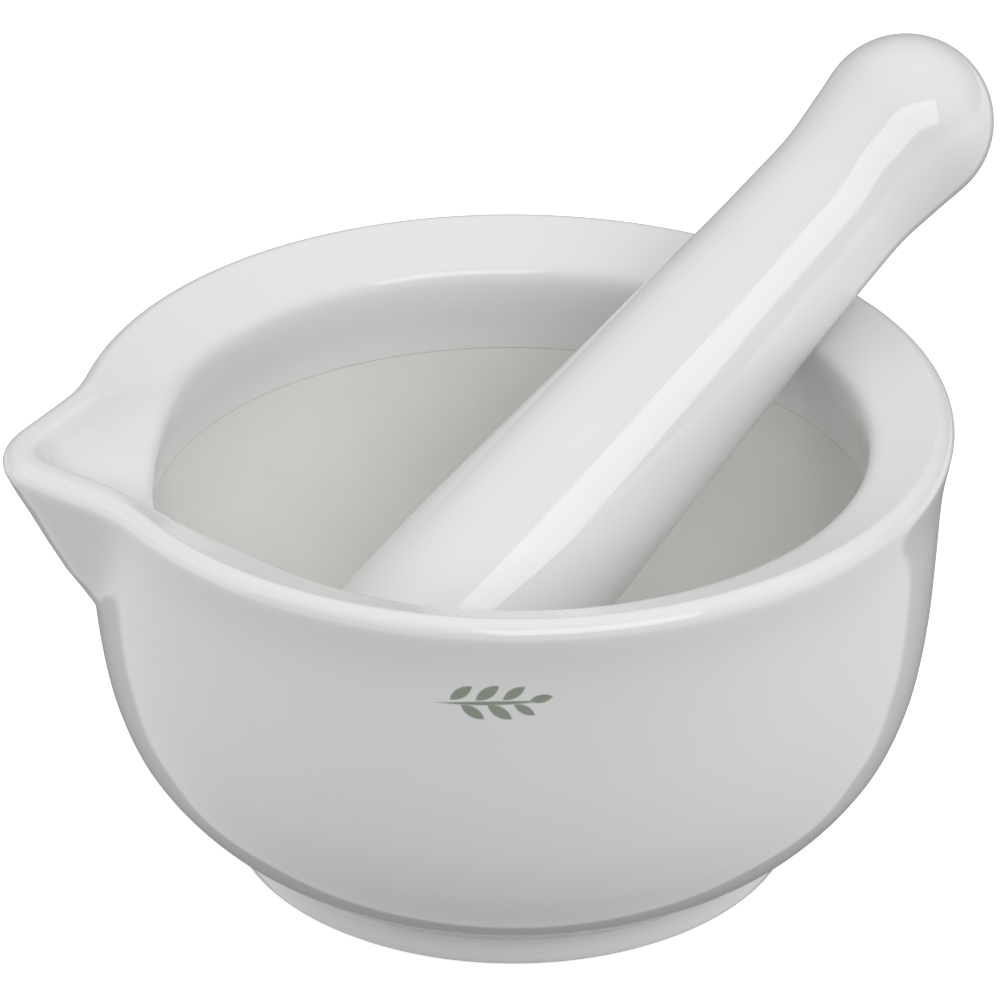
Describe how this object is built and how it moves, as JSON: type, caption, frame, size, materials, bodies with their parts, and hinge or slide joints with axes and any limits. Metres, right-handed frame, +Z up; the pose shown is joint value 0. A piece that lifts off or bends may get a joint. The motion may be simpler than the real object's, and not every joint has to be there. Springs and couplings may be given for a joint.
{
  "type": "mortar and pestle",
  "caption": "Porcelain mortar with a rounded rim, pouring spout and foot ring, and a loose round-headed pestle with a knob handle that leans on the rim and rocks across the bowl.",
  "frame": {"origin": "on the plane the mortar stands on, under the middle of the part; the mortar's own axis stands 2.55 mm from it towards the spout", "axes": "+Z up, parallel to the mortar's axis; the spout points along -X; the pestle leans towards +X and +Y"},
  "size_m": [0.1812, 0.1508, 0.1274],
  "materials": {
    "mortar_porcelain": "clear glossy glaze; unglazed grinding zone and foot ring",
    "pestle_porcelain": "clear glossy glaze; unglazed grinding head"
  },
  "bodies": {
    "mortar": {"mortar": "mortar_porcelain"},
    "pestle": {"pestle": "pestle_porcelain"}
  },
  "joints": [
    {"name": "pestle_rock", "type": "hinge", "parent": "mortar", "child": "pestle", "pos_m": [-0.02463, -0.01003, 0.0335], "axis": [0.4134, -0.9105, 0], "range_deg": [0, 77.4]}
  ]
}
